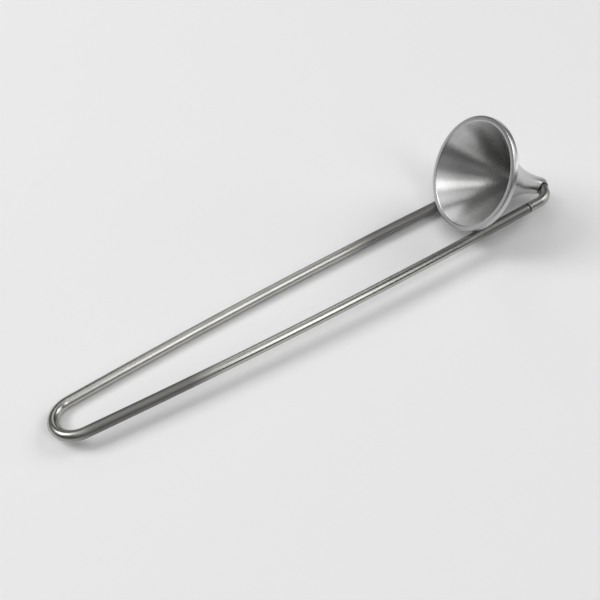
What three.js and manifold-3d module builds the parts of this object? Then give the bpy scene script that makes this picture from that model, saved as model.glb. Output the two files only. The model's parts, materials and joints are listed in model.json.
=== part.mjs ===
// A candle snuffer: a turned bell that swings on the end of a long loop of bent wire.
// It lies on a table as it would be put down, with its bell tipped back on the loop's legs.
// Millimetres, +Z up, +X from the hanging bend towards the bell, origin under the middle of its box.
import * as THREE from "three";
import { mergeVertices } from "three/addons/utils/BufferGeometryUtils.js";
import Module from "manifold-3d";

const wasm = await Module();
wasm.setup();

// Wire loop, measured on the wire's centre line
const WIRE_D = 3.2;
const LOOP_LENGTH = 165.3;
const HANG_BEND_R = 6.8;
const END_BAR = 7.2;
const END_CORNER_R = 6;
const LEG_BOW_R = 1720;
const SEAM_RUN = 10.3;
const SEAM_GAP = 0.3;

// Bell
const MOUTH_D = 34.9;
const RIM_WALL = 1.5;
const RIM_CHAMFER = 0.25;
const LIP_LENGTH = 1.7;
const LIP_STEP = 0.2;
const BELL_WALL = 1.15;
const BORE_TO_MOUTH = 29;
const BORE_TO_NOSE = 3.6;
const NOSE_ROUND = 3;
const FLARE_POWER = 2.4;
const BORE_WALL = 0.5;

// Fits and the lying pose
const BORE_CLEARANCE = 0.55;
const BELL_OFFSET = 2.8;
const BELL_TWIST = THREE.MathUtils.degToRad(5.35);
const REST_GAP = 0.3;
const LOOP_ROLL = THREE.MathUtils.degToRad(14.3);
const LOOP_PITCH = THREE.MathUtils.degToRad(0.8);

// Facets
const WIRE_SIDES = 12;
const WIRE_STEPS = 190;
const BELL_SIDES = 64;
const FLARE_STEPS = 16;
const NOSE_STEPS = 5;
const BORE_SIDES = 24;

const wireSteel = new THREE.MeshStandardMaterial({ color: 0x8d8c86, roughness: 0.35, metalness: 1 });
const turnedAluminium = new THREE.MeshStandardMaterial({ color: 0xc9cacb, roughness: 0.3, metalness: 1 });

// The loop lies in its own xy plane: the end bar on x = 0, the hanging bend at -x, the near leg at -y.
const halfBar = END_BAR / 2;
const nearCorner = new THREE.Vector2(-END_CORNER_R, -halfBar);
const hangCentre = new THREE.Vector2(HANG_BEND_R - LOOP_LENGTH, 0);

// Centre of the near leg's shallow arc, which runs into its corner and the hanging bend without a kink.
function nearLegCentre() {
  const toCorner = LEG_BOW_R - END_CORNER_R;
  const toBend = LEG_BOW_R - HANG_BEND_R;
  const line = hangCentre.clone().sub(nearCorner);
  const span = line.length();
  const along = (toCorner ** 2 - toBend ** 2 + span ** 2) / (2 * span);
  const across = Math.sqrt(toCorner ** 2 - along ** 2);
  line.normalize();
  const sideways = new THREE.Vector2(line.y, -line.x);
  return nearCorner.clone().addScaledVector(line, along).addScaledVector(sideways, across);
}

// The wire's centre line from one cut end, round the bell's end and the hanging bend, to the other cut end.
function loopOutline() {
  const leg = nearLegCentre();
  const cornerAngle = nearCorner.clone().sub(leg).angle() - 2 * Math.PI;
  const bendAngle = hangCentre.clone().sub(leg).angle() - 2 * Math.PI;
  const seamAngle = -Math.acos((-SEAM_RUN - leg.x) / LEG_BOW_R);
  const halfGap = SEAM_GAP / 2 / LEG_BOW_R;
  const outline = new THREE.Path();
  outline.absarc(leg.x, leg.y, LEG_BOW_R, seamAngle + halfGap, cornerAngle);
  outline.absarc(nearCorner.x, nearCorner.y, END_CORNER_R, cornerAngle, 0);
  outline.absarc(nearCorner.x, -nearCorner.y, END_CORNER_R, 0, -cornerAngle);
  outline.absarc(leg.x, -leg.y, LEG_BOW_R, -cornerAngle, -bendAngle);
  outline.absarc(hangCentre.x, hangCentre.y, HANG_BEND_R, -bendAngle, 2 * Math.PI + bendAngle);
  outline.absarc(leg.x, leg.y, LEG_BOW_R, bendAngle, seamAngle - halfGap);
  return outline;
}

class FlatRun extends THREE.Curve {
  constructor(outline) {
    super();
    this.outline = outline;
    this.arcLengthDivisions = 2000;
  }

  getPoint(t) {
    const { x, y } = this.outline.getPoint(t);
    return new THREE.Vector3(x, y, 0);
  }
}

const wireRun = new FlatRun(loopOutline());

function wireGeometry() {
  const corners = Array.from({ length: WIRE_SIDES }, (_, side) => {
    const angle = (2 * Math.PI * side) / WIRE_SIDES;
    return new THREE.Vector2(Math.cos(angle), Math.sin(angle)).multiplyScalar(WIRE_D / 2);
  });
  return new THREE.ExtrudeGeometry(new THREE.Shape(corners), { steps: WIRE_STEPS, extrudePath: wireRun });
}

// The bell stands on its nose along +y, with the cross bore through its neck on the x axis.
const boreRadius = WIRE_D / 2 + BORE_CLEARANCE;
const neckRadius = boreRadius + BORE_WALL;
const lipRadius = MOUTH_D / 2;
const lipBack = BORE_TO_MOUTH - LIP_LENGTH;

// Outer radius of the trumpet flank, which leaves the neck slowly and meets the lip steeply.
function flankRadius(y) {
  const rise = (y + BORE_TO_NOSE) / (lipBack + BORE_TO_NOSE);
  return neckRadius + (lipRadius - LIP_STEP - neckRadius) * rise ** FLARE_POWER;
}

function flankProfile() {
  const flareStart = NOSE_ROUND - BORE_TO_NOSE;
  const nose = Array.from({ length: NOSE_STEPS }, (_, step) => {
    const angle = (Math.PI / 2) * (step / NOSE_STEPS);
    const y = flareStart - NOSE_ROUND * Math.cos(angle);
    return new THREE.Vector2(flankRadius(y) * Math.sin(angle), y);
  });
  const flare = Array.from({ length: FLARE_STEPS + 1 }, (_, step) => {
    const y = THREE.MathUtils.lerp(flareStart, lipBack, step / FLARE_STEPS);
    return new THREE.Vector2(flankRadius(y), y);
  });
  return [...nose, ...flare];
}

// Flank, lip and flat rim outside; inside, one plain cone as deep as the wall over the flank allows.
function bellProfile() {
  const flank = flankProfile();
  const coneTop = new THREE.Vector2(lipRadius - RIM_WALL, BORE_TO_MOUTH - RIM_CHAMFER);
  const slopes = flank
    .filter(({ y }) => y > 0 && y < lipBack)
    .map(({ x, y }) => (coneTop.x - x + BELL_WALL) / (coneTop.y - y));
  const coneDepth = coneTop.x / Math.max(...slopes);
  return [
    ...flank,
    new THREE.Vector2(lipRadius, lipBack),
    new THREE.Vector2(lipRadius, BORE_TO_MOUTH - RIM_CHAMFER),
    new THREE.Vector2(lipRadius - RIM_CHAMFER, BORE_TO_MOUTH),
    new THREE.Vector2(coneTop.x + RIM_CHAMFER, BORE_TO_MOUTH),
    coneTop,
    new THREE.Vector2(0, coneTop.y - coneDepth),
  ];
}

function toSolid(geometry) {
  geometry.deleteAttribute("normal");
  geometry.deleteAttribute("uv");
  const merged = mergeVertices(geometry);
  const corners = merged.index.array;
  const kept = [];
  for (let i = 0; i < corners.length; i += 3) {
    const [a, b, c] = corners.slice(i, i + 3);
    if (a !== b && b !== c && c !== a) kept.push(a, b, c);
  }
  const vertProperties = new Float32Array(merged.attributes.position.array);
  return new wasm.Manifold(new wasm.Mesh({ numProp: 3, vertProperties, triVerts: new Uint32Array(kept) }));
}

function toGeometry(solid) {
  const { vertProperties, triVerts } = solid.getMesh();
  const geometry = new THREE.BufferGeometry();
  geometry.setAttribute("position", new THREE.BufferAttribute(new Float32Array(vertProperties), 3));
  geometry.setIndex(new THREE.BufferAttribute(new Uint32Array(triVerts), 1));
  geometry.computeVertexNormals();
  return geometry;
}

function bellGeometry() {
  const body = toSolid(new THREE.LatheGeometry(bellProfile(), BELL_SIDES));
  const drill = new THREE.CylinderGeometry(boreRadius, boreRadius, 4 * neckRadius, BORE_SIDES);
  return toGeometry(body.subtract(toSolid(drill.rotateZ(Math.PI / 2))));
}

// The bell's hinge turns on its x axis, the bore, which hangs a little askew on the straight end bar.
// Its y axis points down the handle.
const hinge = new THREE.Group();
hinge.rotation.z = Math.PI / 2 - BELL_TWIST;
hinge.position.set(0, -BELL_OFFSET, 0);
hinge.updateMatrix();

// Least gap between the legs and the flank, lip and rim of a bell tipped up by the given angle.
function legGap(pitch) {
  const toBell = new THREE.Matrix4().makeRotationX(pitch).premultiply(hinge.matrix).invert();
  const outside = bellProfile().slice(NOSE_STEPS, -2);
  const edges = outside.slice(1).map((end, i) => [outside[i], end]);
  const nearest = new THREE.Vector3();
  const gaps = wireRun.getPoints(3 * WIRE_STEPS)
    .filter(({ x }) => x < -END_CORNER_R && x > -3 * BORE_TO_MOUTH)
    .map((point) => {
      const { x, y, z } = point.applyMatrix4(toBell);
      const flat = new THREE.Vector3(Math.hypot(x, z), y, 0);
      return Math.min(...edges.map(([a, b]) => {
        const edge = new THREE.Line3(new THREE.Vector3(a.x, a.y, 0), new THREE.Vector3(b.x, b.y, 0));
        return edge.closestPointToPoint(flat, true, nearest).distanceTo(flat);
      }));
    });
  return Math.min(...gaps) - WIRE_D / 2;
}

// The bell tips back until its lip lies on the legs, so its angle follows from their sizes.
function restingPitch() {
  let clear = Math.PI / 2;
  let low = 0;
  for (let halving = 0; halving < 24; halving += 1) {
    const middle = (clear + low) / 2;
    if (legGap(middle) > REST_GAP) clear = middle;
    else low = middle;
  }
  return clear;
}

const handleLoop = new THREE.Mesh(wireGeometry(), wireSteel);
handleLoop.name = "handle_loop";

const bell = new THREE.Mesh(bellGeometry(), turnedAluminium);
bell.name = "bell";
bell.rotation.x = restingPitch();
hinge.add(bell);

const lying = new THREE.Group();
lying.rotation.set(-LOOP_ROLL, -LOOP_PITCH, 0, "ZYX");
lying.add(handleLoop, hinge);

const snuffer = new THREE.Group();
snuffer.add(lying);
const box = new THREE.Box3().setFromObject(snuffer, true);
const middle = box.getCenter(new THREE.Vector3());
lying.position.set(-middle.x, -middle.y, -box.min.z);

export default snuffer;
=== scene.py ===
"""A candle snuffer laid down on a pale table: a turned bell that swings on the end of a bent wire loop."""

import json
import math

import bmesh
import bpy
import numpy as np
from mathutils import Matrix, Vector


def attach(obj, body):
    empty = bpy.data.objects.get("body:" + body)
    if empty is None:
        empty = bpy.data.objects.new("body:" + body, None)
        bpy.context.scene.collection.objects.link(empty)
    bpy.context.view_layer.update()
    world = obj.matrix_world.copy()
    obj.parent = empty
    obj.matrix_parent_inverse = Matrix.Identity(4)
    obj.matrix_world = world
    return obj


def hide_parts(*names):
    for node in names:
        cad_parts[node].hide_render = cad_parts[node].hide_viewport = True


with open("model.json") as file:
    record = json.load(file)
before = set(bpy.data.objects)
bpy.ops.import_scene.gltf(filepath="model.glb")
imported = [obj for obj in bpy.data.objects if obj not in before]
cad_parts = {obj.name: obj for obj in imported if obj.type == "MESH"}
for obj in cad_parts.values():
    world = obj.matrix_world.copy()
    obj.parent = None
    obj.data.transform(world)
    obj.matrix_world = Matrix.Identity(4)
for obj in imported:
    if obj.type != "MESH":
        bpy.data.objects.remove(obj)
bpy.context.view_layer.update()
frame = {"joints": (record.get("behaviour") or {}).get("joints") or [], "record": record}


# Handle loop. One length of bright drawn steel wire, bent cold into a long closed loop: a round bend to hang
# it by, two bowed legs, and a squarer end that carries the bell. Its cut ends, with filed edges, butt
# together on the near leg close to the bell, painted dark as shade in the seam's gap. It is rougher in
# places and darker in stretches: painted shade and dim painted reflection under and beside the bell,
# and simply darker by the hanging bend and along the near leg.
WIRE_R = 0.0016
LOOP_LENGTH = 0.1653
HANG_BEND_R = 0.0068
HALF_BAR = 0.0036
END_CORNER_R = 0.006
LEG_BOW_R = 1.72
SEAM_RUN = 0.0103
SEAM_GAP = 0.0003
FILED_EDGE = 0.00012
LOOP_ROLL = math.radians(14.3)
LOOP_PITCH = math.radians(0.8)
BELL_OFFSET = 0.0028

SEAM_STEPS = 10
CORNER_STEPS = 48
FAR_LEG_STEPS = 240
BEND_STEPS = 96
NEAR_LEG_STEPS = 236
WIRE_AROUND = 40
SAME_POINT = 1e-8
WELD_REACH = 1e-7

STEEL_COLOUR = (0.50, 0.498, 0.476, 1.0)
# Colour of the wire's stains and of its painted shade
STEEL_STAIN_AND_SHADE = (0.20, 0.198, 0.189, 1.0)
STAIN_SCALE = 70.0
STAIN_SPREAD = (0.56, 0.74)
STAIN_AMOUNT = 0.45
PATCH_DETAIL = 4.0
LINES = (60.0, 90.0)
LINE_ROUGHNESS = (0.19, 0.26)
LINE_RELIEF = 0.05
LINE_DEPTH = 0.00002
GRAIN_DETAIL = 3.0
GRAIN_SPREAD = (0.3, 0.7)

# Stretches made darker and rougher: start and end in metres along the wire from its first cut end,
# darkness, added roughness. Under and beside the bell the darkness is painted shade and dim painted
# reflection; elsewhere it simply makes the wire darker.
DARK_AND_ROUGH_STRETCHES = {
    "end_bar_and_corners": (0.008, 0.030, 0.5, 0.16),
    "far_leg_by_the_bell": (0.030, 0.080, 0.85, 0.29),
    "far_leg": (0.080, 0.178, 0.0, 0.06),
    "hanging_bend": (0.178, 0.206, 0.15, 0.05),
    "near_leg_by_the_bend": (0.206, 0.234, 1.0, 0.25),
    "near_leg": (0.234, 0.285, 0.15, 0.0),
    "near_leg_by_the_seam": (0.334, 0.352, 0.9, 0.16),
}
STRETCH_FADE = 0.012
CUT_FADE = 0.0006


def loop_centre_line():
    """Points (x, y) of the wire's centre line in the loop's plane, and the angle of the outward side there.

    Every stretch but the end bar is an arc, centre + radius * (cos a, sin a), and they run anticlockwise
    from one cut end: near leg, two corners, far leg, hanging bend, near leg. A leg's arc touches its corner
    and the bend from outside, so its centre is where two circles cross, with LEG_BOW_R less each bend's
    radius as their radii.
    """
    corner = np.array([-END_CORNER_R, -HALF_BAR])
    bend = np.array([HANG_BEND_R - LOOP_LENGTH, 0.0])
    span = np.linalg.norm(bend - corner)
    line = (bend - corner) / span
    to_corner, to_bend = LEG_BOW_R - END_CORNER_R, LEG_BOW_R - HANG_BEND_R
    along = (to_corner**2 - to_bend**2 + span**2) / (2 * span)
    leg = corner + along * line + math.sqrt(to_corner**2 - along**2) * np.array([line[1], -line[0]])
    at_corner = math.atan2(*(corner - leg)[::-1])
    at_bend = math.atan2(*(bend - leg)[::-1])
    at_seam = -math.acos((-SEAM_RUN - leg[0]) / LEG_BOW_R)
    half_gap = SEAM_GAP / 2 / LEG_BOW_R
    mirror = np.array([1.0, -1.0])
    arcs = [
        (leg, LEG_BOW_R, at_seam + half_gap, at_corner, SEAM_STEPS),
        (corner, END_CORNER_R, at_corner, 0.0, CORNER_STEPS),
        (corner * mirror, END_CORNER_R, 0.0, -at_corner, CORNER_STEPS),
        (leg * mirror, LEG_BOW_R, -at_corner, -at_bend, FAR_LEG_STEPS),
        (bend, HANG_BEND_R, -at_bend, 2 * math.pi + at_bend, BEND_STEPS),
        (leg, LEG_BOW_R, at_bend, at_seam - half_gap, NEAR_LEG_STEPS),
    ]
    angles = [np.linspace(start, stop, steps) for _, _, start, stop, steps in arcs]
    points = [
        centre + radius * np.stack([np.cos(a), np.sin(a)], 1)
        for (centre, radius, *_), a in zip(arcs, angles)
    ]
    points, angles = np.concatenate(points), np.concatenate(angles)
    moved = np.linalg.norm(np.diff(points, axis=0), axis=1) > SAME_POINT
    keep = np.concatenate([[True], moved])
    return points[keep], angles[keep]


def run_along(points):
    """Metres along a line of points from its first: the sum of the steps up to each."""
    steps = np.linalg.norm(np.diff(points, axis=0), axis=1)
    return np.concatenate([[0.0], np.cumsum(steps)])


def wire_surface():
    """Grid of rings along the wire, with the metre along it and the share of a turn round it at each point.

    A ring is centre + r * (cos v * outward + sin v * up). At both cut ends r falls from the wire's radius
    over a filed edge to the flat face and then to nothing at its middle, which closes the end.
    """
    line, angle = loop_centre_line()
    forward = np.stack([-np.sin(angle), np.cos(angle)], 1)
    first, last = line[0] + FILED_EDGE * forward[0], line[-1] - FILED_EDGE * forward[-1]
    centre = np.concatenate([line[:1], line[:1], [first], line[1:-1], [last], line[-1:], line[-1:]])
    angle = np.concatenate([angle[:1], angle[:1], angle, angle[-1:], angle[-1:]])
    radius = np.full(len(centre), WIRE_R)
    radius[[0, -1]] = 0.0
    radius[[1, -2]] = WIRE_R - FILED_EDGE
    turn = np.linspace(0.0, 1.0, WIRE_AROUND + 1)
    v = 2 * math.pi * turn - math.pi / 2
    outward = np.stack([np.cos(angle), np.sin(angle), np.zeros_like(angle)], 1)
    up = np.array([0.0, 0.0, 1.0])
    ring = np.cos(v)[None, :, None] * outward[:, None, :] + np.sin(v)[None, :, None] * up
    flat = np.concatenate([centre, np.zeros((len(centre), 1))], 1)
    grid = flat[:, None, :] + radius[:, None, None] * ring
    uv = np.stack(np.broadcast_arrays(run_along(centre)[:, None], turn[None, :]), 2)
    return grid, uv


def grid_piece(name, grids):
    """One closed mesh from several grids of points, each with a grid of (u, v), joined where edges meet.

    Each cell of a grid is a four-sided face; points that fall together, at seams and poles, become one.
    """
    corners, places, mapped, offset = [], [], [], 0
    for grid, uv in grids:
        rows, columns = grid.shape[:2]
        index = np.arange(rows * columns).reshape(rows, columns)
        cells = np.stack([index[:-1, :-1], index[:-1, 1:], index[1:, 1:], index[1:, :-1]], 2).reshape(-1, 4)
        corners.append(cells + offset)
        places.append(grid.reshape(-1, 3))
        mapped.append(uv.reshape(-1, 2)[cells.ravel()])
        offset += rows * columns
    corners, places, mapped = np.concatenate(corners), np.concatenate(places), np.concatenate(mapped)
    mesh = bpy.data.meshes.new(name)
    mesh.from_pydata(places.tolist(), [], corners.tolist())
    mesh.uv_layers.new(name="UVMap").data.foreach_set("uv", mapped.astype(np.float32).ravel())
    shell = bmesh.new()
    shell.from_mesh(mesh)
    bmesh.ops.remove_doubles(shell, verts=shell.verts, dist=WELD_REACH)
    bmesh.ops.dissolve_degenerate(shell, edges=shell.edges, dist=SAME_POINT)
    bmesh.ops.recalc_face_normals(shell, faces=shell.faces)
    shell.to_mesh(mesh)
    shell.free()
    mesh.polygons.foreach_set("use_smooth", np.ones(len(mesh.polygons), bool))
    mesh.update()
    piece = bpy.data.objects.new(name, mesh)
    bpy.context.scene.collection.objects.link(piece)
    return piece


def turned_about(axis, angle):
    """3 by 3 rotation about the X (0) or Y (1) axis."""
    c, s = math.cos(angle), math.sin(angle)
    if axis == 0:
        return np.array([[1, 0, 0], [0, c, -s], [0, s, c]])
    return np.array([[c, 0, s], [0, 1, 0], [-s, 0, c]])


def new_material(name, metallic):
    """A new material with its node tree and its shader; metallic is 1 for a metal and 0 for paint."""
    material = bpy.data.materials.new(name)
    material.use_nodes = True
    shader = material.node_tree.nodes["Principled BSDF"]
    shader.inputs["Metallic"].default_value = metallic
    return material, material.node_tree, shader


def add_node(tree, kind, inputs, **settings):
    """A new node with its settings; each named input takes a value or a link from another node's output."""
    node = tree.nodes.new(kind)
    for name, value in settings.items():
        setattr(node, name, value)
    for name, value in inputs.items():
        if isinstance(value, bpy.types.NodeSocket):
            tree.links.new(value, node.inputs[name])
        else:
            node.inputs[name].default_value = value
    return node


def surface_map(tree):
    """The (u, v) of the piece's own map."""
    return add_node(tree, "ShaderNodeUVMap", {}, uv_map="UVMap").outputs["UV"]


def along_surface(tree, axis):
    """The u ("X") or the v ("Y") of the piece's own map."""
    return add_node(tree, "ShaderNodeSeparateXYZ", {"Vector": surface_map(tree)}).outputs[axis]


def ramped(tree, value, between, results):
    """A value carried in a straight line from one pair of ends to another, and held past the ends."""
    ends = {"From Min": between[0], "From Max": between[1], "To Min": results[0], "To Max": results[1]}
    return add_node(tree, "ShaderNodeMapRange", {"Value": value, **ends}).outputs["Result"]


def joined(tree, rule, values):
    """Several values made one by a rule of arithmetic: MINIMUM, MAXIMUM or ADD."""
    result = values[0]
    for value in values[1:]:
        node = add_node(tree, "ShaderNodeMath", {}, operation=rule)
        tree.links.new(result, node.inputs[0])
        tree.links.new(value, node.inputs[1])
        result = node.outputs["Value"]
    return result


def stretched_noise(tree, scale):
    """Noise over the piece's (u, v), stretched to so many grains for one unit of each."""
    stretch = {"Vector": surface_map(tree), "Scale": (*scale, 1.0)}
    stretched = add_node(tree, "ShaderNodeMapping", stretch).outputs["Vector"]
    noise = {"Vector": stretched, "Scale": 1.0, "Detail": GRAIN_DETAIL}
    return add_node(tree, "ShaderNodeTexNoise", noise).outputs["Fac"]


def patches(tree, scale, spread, amount):
    """Soft patches in space that grow from nothing to amount as a noise rises through its spread."""
    place = add_node(tree, "ShaderNodeTexCoord", {}).outputs["Object"]
    noise = {"Vector": place, "Scale": scale, "Detail": PATCH_DETAIL}
    cloud = add_node(tree, "ShaderNodeTexNoise", noise).outputs["Fac"]
    return ramped(tree, cloud, spread, (0.0, amount))


def wire_stretch(tree, start, end, amount, fade):
    """A value that is amount from start to end, in metres along the wire, and fades to nothing past both."""
    along = along_surface(tree, "X")
    rise = ramped(tree, along, (start - fade, start), (0.0, amount))
    fall = ramped(tree, along, (end, end + fade), (amount, 0.0))
    return joined(tree, "MINIMUM", [rise, fall])


def colour_between(tree, shader, share, *colours):
    """Give a shader its first colour where the share is 0, its last where it is 1, and the rest between."""
    ramp = tree.nodes.new("ShaderNodeValToRGB")
    stops = ramp.color_ramp.elements
    for place in np.linspace(0.0, 1.0, len(colours))[1:-1]:
        stops.new(float(place))
    for stop, colour in zip(stops, colours):
        stop.color = colour
    tree.links.new(share, ramp.inputs["Fac"])
    tree.links.new(ramp.outputs["Color"], shader.inputs["Base Color"])


def grain_relief(tree, shader, grain, strength, depth):
    """Let a grain give a shader's surface a slight relief of so many metres."""
    relief = add_node(tree, "ShaderNodeBump", {"Height": grain, "Strength": strength, "Distance": depth})
    tree.links.new(relief.outputs["Normal"], shader.inputs["Normal"])


def drawn_steel(length):
    """Bright drawn wire: fine lengthwise lines in roughness and relief, stains, rougher and darker stretches
    with painted shade by the bell, and cut ends painted dark as shade in the seam's gap.
    """
    material, tree, shader = new_material("drawn_steel", metallic=1.0)
    stains = patches(tree, STAIN_SCALE, STAIN_SPREAD, STAIN_AMOUNT)
    # Painted shade and dim painted reflection on the stretches under and beside the bell, plain darkening on
    # the others
    dark_stretches = [wire_stretch(tree, start, end, darkening, STRETCH_FADE) for start, end, darkening, _ in DARK_AND_ROUGH_STRETCHES.values()]
    # Painted shade in the seam's gap: both cut ends are painted dark
    shaded_cuts = [wire_stretch(tree, end, end, 1.0, CUT_FADE) for end in (0.0, length)]
    tone_and_shade = joined(tree, "MAXIMUM", [stains, *dark_stretches, *shaded_cuts])
    colour_between(tree, shader, tone_and_shade, STEEL_COLOUR, STEEL_STAIN_AND_SHADE)
    lines = stretched_noise(tree, LINES)
    fine = ramped(tree, lines, GRAIN_SPREAD, LINE_ROUGHNESS)
    added = [wire_stretch(tree, start, end, rough, STRETCH_FADE) for start, end, _, rough in DARK_AND_ROUGH_STRETCHES.values()]
    roughness = joined(tree, "ADD", [fine, joined(tree, "MAXIMUM", added)])
    tree.links.new(roughness, shader.inputs["Roughness"])
    grain_relief(tree, shader, lines, LINE_RELIEF, LINE_DEPTH)
    return material


swing = frame["joints"][0]
hinge_place = np.array(swing["pos_m"])
lie = turned_about(1, -LOOP_PITCH) @ turned_about(0, -LOOP_ROLL)
loop_place = hinge_place - lie @ np.array([0.0, -BELL_OFFSET, 0.0])
wire_grid, wire_uv = wire_surface()
wire = grid_piece("wire_loop", [(wire_grid @ lie.T + loop_place, wire_uv)])
wire_length = float(wire_uv[-1, 0, 0])
wire.data.materials.append(drawn_steel(wire_length))
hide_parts("handle_loop")
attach(wire, "handle")


# Bell. Turned from one bar of aluminium and lightly polished: a thin neck with a rounded nose and a cross
# bore for the wire, a flank flared like a trumpet, a narrow lip with a crease behind it, a flat rim and a
# plain conical inside, with painted shade darkening its depth. It hangs loose on the wire by its bore.
MOUTH_R = 0.01745
RIM_WALL = 0.0015
RIM_ROUND = 0.0003
INNER_ROUND = 0.00018
LIP_LENGTH = 0.0017
LIP_STEP = 0.0002
LIP_BACK_ROUND = 0.00012
CREASE_DEPTH = 0.00012
CREASE_WIDTH = 0.00004
BELL_WALL = 0.00115
BORE_TO_MOUTH = 0.029
BORE_TO_NOSE = 0.0036
NOSE_ROUND = 0.003
FLARE_POWER = 2.4
NECK_R = 0.00265
BORE_R = 0.00215
BORE_EDGE = 0.00018
HALF_BAND = 0.0026

HALF_AROUND = 96
NOSE_POINTS = 26
FLANK_POINTS = 70
ROUND_POINTS = 6
CONE_STEPS = 59
BAND_STEPS = 40
BAND_RINGS = 14
EDGE_RINGS = 7
WALL_RINGS = 8

ALUMINIUM_COLOUR = (0.68, 0.68, 0.68, 1.0)
ALUMINIUM_DULL = (0.50, 0.50, 0.495, 1.0)
# Colour of the painted shade deep in the cone
ALUMINIUM_DEEP_SHADE = (0.48, 0.48, 0.475, 1.0)
CLOUD_SCALE = 160.0
CLOUD_SPREAD = (0.45, 0.75)
CLOUD_AMOUNT = 0.25
OUTSIDE_DULL = 0.35
# Painted shade in the cone starts and is full at these shares of its depth
DEEP_SHADE_FROM = 0.05
DEEP_SHADE_FULL = 0.5
RINGS = (0.0, 9000.0)
RING_ROUGHNESS = (0.25, 0.31)
RING_RELIEF = 0.03
RING_DEPTH = 0.00001

lip_back = BORE_TO_MOUTH - LIP_LENGTH


def flank_radius(y):
    """Outer radius at y along the bell: a power curve from neck to lip, drawn in to nothing at the nose."""
    rise = (y + BORE_TO_NOSE) / (lip_back + BORE_TO_NOSE)
    flare = NECK_R + (MOUTH_R - LIP_STEP - NECK_R) * np.maximum(rise, 0.0) ** FLARE_POWER
    into_nose = np.clip((NOSE_ROUND - BORE_TO_NOSE - y) / NOSE_ROUND, 0.0, 1.0)
    return flare * np.sqrt(1.0 - into_nose**2)


def round_corner(before, corner, after, radius):
    """Points that round a profile's corner: a quadratic curve that starts and ends radius away from it."""
    back = (before - corner) / np.linalg.norm(before - corner) * radius
    onward = (after - corner) / np.linalg.norm(after - corner) * radius
    t = np.linspace(0.0, 1.0, ROUND_POINTS)[:, None]
    return corner + back * (1 - t) ** 2 + onward * t**2


def nose_profile():
    """(radius, y) from the nose's tip to the neck's band, with the points closer together at the tip."""
    y = -BORE_TO_NOSE + (BORE_TO_NOSE - HALF_BAND) * np.linspace(0.0, 1.0, NOSE_POINTS) ** 2
    return np.stack([flank_radius(y), y], 1)


def body_profile():
    """(radius, y) from the flank past the neck's band, over lip and rim, down the inner cone to its apex.

    The cone starts at the rim's inner edge and is as deep as a wall of BELL_WALL under the flank allows.
    """
    y = HALF_BAND + (lip_back - HALF_BAND) * np.linspace(0.0, 1.0, FLANK_POINTS)
    outline = np.stack([flank_radius(y), y], 1)
    flank, flank_end = outline[:-1], outline[-1]
    cone_top = np.array([MOUTH_R - RIM_WALL, BORE_TO_MOUTH])
    slope = np.max((cone_top[0] - flank[:, 0] + BELL_WALL) / (cone_top[1] - flank[:, 1]))
    apex = np.array([0.0, cone_top[1] - cone_top[0] / slope])
    crease = flank_end + np.array([-CREASE_DEPTH, CREASE_WIDTH])
    back_edge, front_edge = np.array([MOUTH_R, lip_back]), np.array([MOUTH_R, BORE_TO_MOUTH])
    inner_edge = round_corner(front_edge, cone_top, apex, INNER_ROUND)
    t = np.linspace(0.0, 1.0, CONE_STEPS + 1)[1:, None]
    return np.concatenate([
        flank,
        [crease],
        round_corner(crease, back_edge, front_edge, LIP_BACK_ROUND),
        round_corner(back_edge, front_edge, cone_top, RIM_ROUND),
        inner_edge,
        inner_edge[-1] + (apex - inner_edge[-1]) * t,
    ])


def lathe_grid(profile, run):
    """Grid of a profile turned about y: (r cos a, y, r sin a), with (share of a turn, run) as (u, v)."""
    a = np.linspace(-math.pi / 2, 3 * math.pi / 2, 2 * HALF_AROUND + 1)
    r, y = profile[:, :1], profile[:, 1:]
    grid = np.stack(np.broadcast_arrays(r * np.cos(a), y, r * np.sin(a)), 2)
    uv = np.stack(np.broadcast_arrays(a[None, :] / (2 * math.pi), run[:, None]), 2)
    return grid, uv


def bored_band(side):
    """Grids of half the neck's band round the bore's end, and of the bore's edge and wall to mid-neck.

    The half band is a rectangle in (angle, y). Each point of its border is joined to the point of the hole
    that lies in the same direction, and every point between takes its radius from the flank, so the band has
    a true hole. The bore's edge is a quarter round, and its wall goes straight in from there to the middle.
    """
    turn = np.linspace(-math.pi / 2, math.pi / 2, HALF_AROUND + 1)
    rise = np.linspace(-HALF_BAND, HALF_BAND, BAND_STEPS + 1)
    border = np.concatenate([
        np.stack([turn, np.full_like(turn, HALF_BAND)], 1)[:-1],
        np.stack([np.full_like(rise, math.pi / 2), rise[::-1]], 1)[:-1],
        np.stack([turn[::-1], np.full_like(turn, -HALF_BAND)], 1)[:-1],
        np.stack([np.full_like(rise, -math.pi / 2), rise], 1),
    ])
    way = np.arctan2(NECK_R * border[:, 0], border[:, 1])
    hole = BORE_R + BORE_EDGE
    hole_y = hole * np.cos(way)
    hole_angle = np.arcsin(hole * np.sin(way) / flank_radius(hole_y))
    t = np.linspace(0.0, 1.0, BAND_RINGS)[:, None]
    angle = border[:, 0] + (hole_angle - border[:, 0]) * t
    y = border[:, 1] + (hole_y - border[:, 1]) * t
    r = flank_radius(y)
    band = np.stack([side * r * np.cos(angle), y, r * np.sin(angle)], 2)
    band_uv = np.stack([angle / (2 * math.pi), y], 2)
    bent = np.linspace(0.0, math.pi / 2, EDGE_RINGS)[:, None]
    out = BORE_R + BORE_EDGE * (1 - np.sin(bent))
    edge_y, edge_z = out * np.cos(way), out * np.sin(way)
    edge_x = np.sqrt(flank_radius(edge_y) ** 2 - edge_z**2) - BORE_EDGE * (1 - np.cos(bent))
    edge = np.stack([side * edge_x, edge_y, edge_z], 2)
    inward = np.ones((WALL_RINGS - 1, 1, 3))
    inward[:, 0, 0] = np.linspace(1.0, 0.0, WALL_RINGS)[1:]
    bore = np.concatenate([edge, edge[-1:] * inward])
    bore_uv = np.stack(np.broadcast_arrays(bore[:, :, 0], BORE_R * way[None, :]), 2)
    return [(band, band_uv), (bore, bore_uv)]


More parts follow.
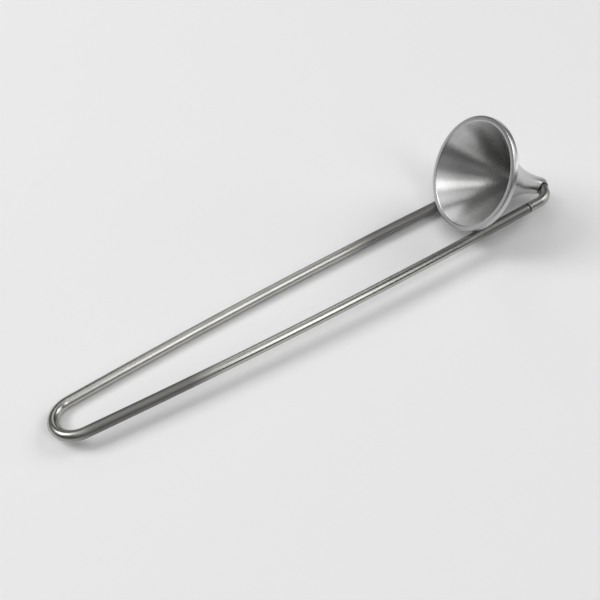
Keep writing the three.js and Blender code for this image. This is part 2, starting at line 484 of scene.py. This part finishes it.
def turned_aluminium(cone_start, cone_end):
    """Turned aluminium: fine rings round the axis, faint clouds, a duller outside, painted shade deep in the
    cone.

    The (u, v) of the bell has the metres along its profile as v. The outside with its lip and rim ends at
    cone_start, where the inner cone begins, and cone_end is the cone's apex.
    """
    material, tree, shader = new_material("turned_aluminium", metallic=1.0)
    clouds = patches(tree, CLOUD_SCALE, CLOUD_SPREAD, CLOUD_AMOUNT)
    along = along_surface(tree, "Y")
    outside = ramped(tree, along, (cone_start - RIM_ROUND, cone_start), (OUTSIDE_DULL, 0.0))
    depth = cone_end - cone_start
    # Painted shade that darkens the cone towards its apex
    deep_shade_reach = (cone_start + DEEP_SHADE_FROM * depth, cone_start + DEEP_SHADE_FULL * depth)
    deep_shade = ramped(tree, along, deep_shade_reach, (0.0, 1.0))
    tone_and_shade = joined(tree, "MAXIMUM", [clouds, outside, deep_shade])
    colour_between(tree, shader, tone_and_shade, ALUMINIUM_COLOUR, ALUMINIUM_DULL, ALUMINIUM_DEEP_SHADE)
    rings = stretched_noise(tree, RINGS)
    tree.links.new(ramped(tree, rings, GRAIN_SPREAD, RING_ROUGHNESS), shader.inputs["Roughness"])
    grain_relief(tree, shader, rings, RING_RELIEF, RING_DEPTH)
    return material


mouth_face = next(m for m in frame["record"]["mounts"] if m["name"] == "bell_rim")
bore_axis, bell_axis = np.array(swing["axis"]), np.array(mouth_face["axis"])
stand = np.stack([bore_axis, bell_axis, np.cross(bore_axis, bell_axis)])
nose, body = nose_profile(), body_profile()
body_run = HALF_BAND + run_along(body)
bell_grids = [
    lathe_grid(nose, nose[:, 1]),
    lathe_grid(body, body_run),
    *bored_band(1.0),
    *bored_band(-1.0),
]
bell = grid_piece("turned_bell", [(grid @ stand + hinge_place, uv) for grid, uv in bell_grids])
bell.data.materials.append(turned_aluminium(float(body_run[-CONE_STEPS - 1]), float(body_run[-1])))
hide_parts("bell")
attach(bell, "bell")


# Table. A plain matt painted surface under the snuffer, wide enough to fill the picture. It is pale well
# past the picture's edges, and further out painted shade darkens it, where the lamps' light falls away,
# so the bell mirrors a dark distance.
TABLE_HALF = 3.0
PALE_R = 0.24
DARK_R = 1.4
TABLE_COLOUR = (0.90, 0.90, 0.90, 1.0)
DISTANT_SHADE_COLOUR = (0.30, 0.30, 0.30, 1.0)
TABLE_ROUGHNESS = 0.7
TABLE_GLOSS = 0.2


def matt_table():
    """Matt paint, pale in the middle of the table, with painted shade darkening it with the distance from
    there.
    """
    material, tree, shader = new_material("matt_table", metallic=0.0)
    shader.inputs["Roughness"].default_value = TABLE_ROUGHNESS
    shader.inputs["Specular IOR Level"].default_value = TABLE_GLOSS
    place = add_node(tree, "ShaderNodeTexCoord", {}).outputs["Object"]
    away = add_node(tree, "ShaderNodeVectorMath", {"Vector": place}, operation="LENGTH").outputs["Value"]
    # Painted shade: the colour darkens from PALE_R to DARK_R away from the table's middle
    reach = {"Value": away, "From Min": PALE_R, "From Max": DARK_R}
    painted_shade = add_node(tree, "ShaderNodeMapRange", reach, interpolation_type="SMOOTHSTEP").outputs["Result"]
    colour_between(tree, shader, painted_shade, TABLE_COLOUR, DISTANT_SHADE_COLOUR)
    return material


table_mesh = bpy.data.meshes.new("table")
table_corners = TABLE_HALF * np.array([(-1, -1, 0), (1, -1, 0), (1, 1, 0), (-1, 1, 0)])
table_mesh.from_pydata(table_corners.tolist(), [], [(0, 1, 2, 3)])
table_mesh.materials.append(matt_table())
table = bpy.data.objects.new("table", table_mesh)
bpy.context.scene.collection.objects.link(table)


# Camera. It stands 0.28 m from the middle of the snuffer, on the near side towards the hanging end, and
# looks down on the table at 54 degrees.
SENSOR_WIDTH = 36.0
LENS = 55.6
NEAR_CLIP = 0.01
CAMERA_PLACE = (-0.0899842, -0.1373701, 0.2244401)
CAMERA_TIP = math.radians(35.806)
CAMERA_TURN = math.radians(-32.0)
camera = bpy.data.objects.new("camera", bpy.data.cameras.new("camera"))
camera.data.sensor_width = SENSOR_WIDTH
camera.data.lens = LENS
camera.data.clip_start = NEAR_CLIP
camera.location = CAMERA_PLACE
camera.rotation_euler = (CAMERA_TIP, 0.0, CAMERA_TURN)
bpy.context.scene.collection.objects.link(camera)
bpy.context.scene.camera = camera


# Light. Soft boxes stand round the table in a dark room. The key at the picture's upper left casts the
# shadows, those overhead, behind and in front lie mirrored in the bell's hollow, the strip gives the wire
# its bright line, and those at the right light the bell's flank and lip.
KEY_DISTANCE = 1.4
LAMP_DISTANCE = 2.5
ROOM_COLOUR = (0.06, 0.06, 0.06, 1.0)


def soft_box(name, compass, height, size, brightness, distance=LAMP_DISTANCE):
    """A soft lamp that faces the middle of the table from a compass angle round from +X and a height angle.

    Its width lies along the handle, as nearly as its facing allows.
    """
    round_by, up_by = math.radians(compass), math.radians(height)
    level = math.cos(up_by)
    away = Vector((level * math.cos(round_by), level * math.sin(round_by), math.sin(up_by)))
    along = (Vector((1.0, 0.0, 0.0)) - away.x * away).normalized()
    lamp = bpy.data.objects.new(name, bpy.data.lights.new(name, "AREA"))
    lamp.data.shape = "RECTANGLE"
    lamp.data.size, lamp.data.size_y = size
    lamp.data.energy = brightness * math.pi * size[0] * size[1]
    lamp.location = away * distance
    lamp.rotation_euler = Matrix((along, away.cross(along), away)).transposed().to_euler()
    bpy.context.scene.collection.objects.link(lamp)


soft_box("key", compass=141, height=45, size=(0.56, 0.56), brightness=7.3, distance=KEY_DISTANCE)
soft_box("key_glow", compass=120, height=60, size=(1.2, 1.2), brightness=1.65)
soft_box("overhead", compass=236, height=76, size=(0.85, 0.85), brightness=2.25)
soft_box("back_high", compass=62, height=76, size=(1.0, 1.0), brightness=0.95)
soft_box("back", compass=70, height=38, size=(0.75, 1.4), brightness=1.15)
soft_box("front", compass=234, height=32, size=(0.6, 2.0), brightness=0.27)
soft_box("front_high", compass=238, height=57, size=(0.6, 0.5), brightness=0.85)
soft_box("front_strip", compass=294, height=51, size=(0.64, 2.2), brightness=2.85)
soft_box("right", compass=355, height=37, size=(1.2, 1.2), brightness=3.75)
soft_box("right_low", compass=336, height=11, size=(1.4, 0.5), brightness=2.1)
room = bpy.data.worlds.new("room")
room.use_nodes = True
room.node_tree.nodes["Background"].inputs["Color"].default_value = ROOM_COLOUR
bpy.context.scene.world = room
bpy.context.scene.view_settings.view_transform = "Standard"
